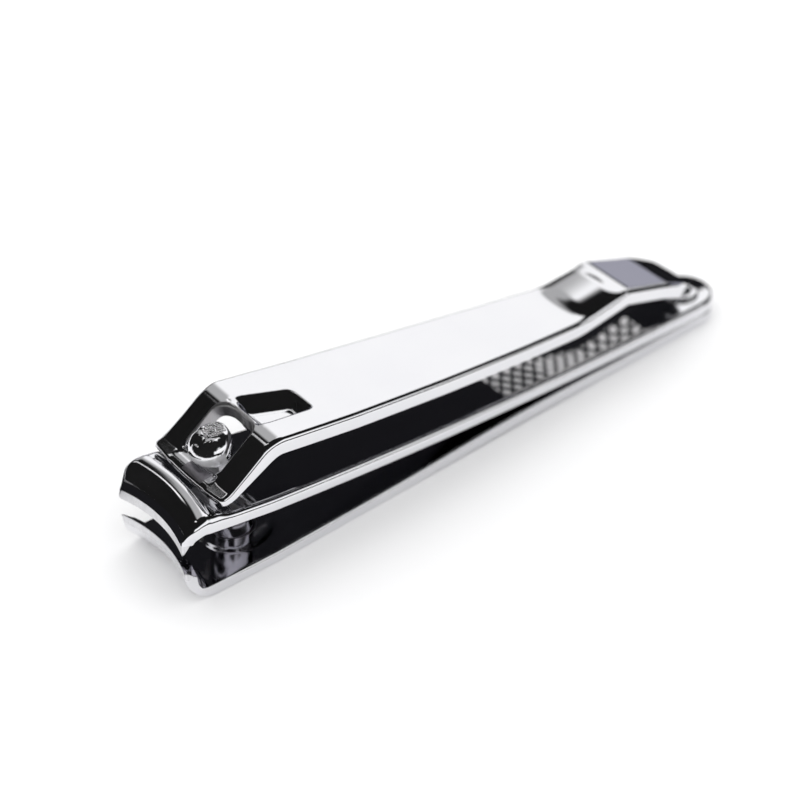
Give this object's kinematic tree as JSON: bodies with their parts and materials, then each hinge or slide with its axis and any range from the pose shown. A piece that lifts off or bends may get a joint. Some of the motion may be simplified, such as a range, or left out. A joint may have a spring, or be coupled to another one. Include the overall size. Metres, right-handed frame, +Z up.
{
  "type": "nail clipper",
  "caption": "Fold-flat nail clipper with sprung jaw strips joined at the tail, a swivelling hooked pin and a bent thumb lever.",
  "frame": {"origin": "bottom centre of the bounding box, on the surface the clipper lies on", "axes": "+X from the cutting edges towards the rounded tail, +Z up, +Y across the width"},
  "size_m": [0.084, 0.014, 0.0167],
  "materials": {
    "jaw_steel": "mirror-polished chrome over spring steel",
    "lever_steel": "mirror-polished chrome",
    "pin_steel": "polished chrome with a sheared, slightly rough head"
  },
  "bodies": {
    "base": {"lower_jaw": "jaw_steel", "tail_rivet": "pin_steel"},
    "jaw": {"upper_jaw": "jaw_steel"},
    "pin": {"pivot_pin": "pin_steel"},
    "lever_arm": {"lever": "lever_steel"}
  },
  "joints": [
    {"name": "jaw_flex", "type": "hinge", "parent": "base", "child": "jaw", "pos_m": [0.0375, 0, 0.0016], "axis": [0, -1, 0], "range_deg": [0, 1.7]},
    {"name": "pin_swivel", "type": "hinge", "parent": "base", "child": "pin", "pos_m": [-0.0314, 0, 0.001], "axis": [-0.1219, 0, 0.9925], "continuous": true},
    {"name": "lever_pitch", "type": "hinge", "parent": "pin", "child": "lever_arm", "pos_m": [-0.0358, 0, 0.0123], "axis": [0, -1, 0], "range_deg": [0, 138]}
  ]
}
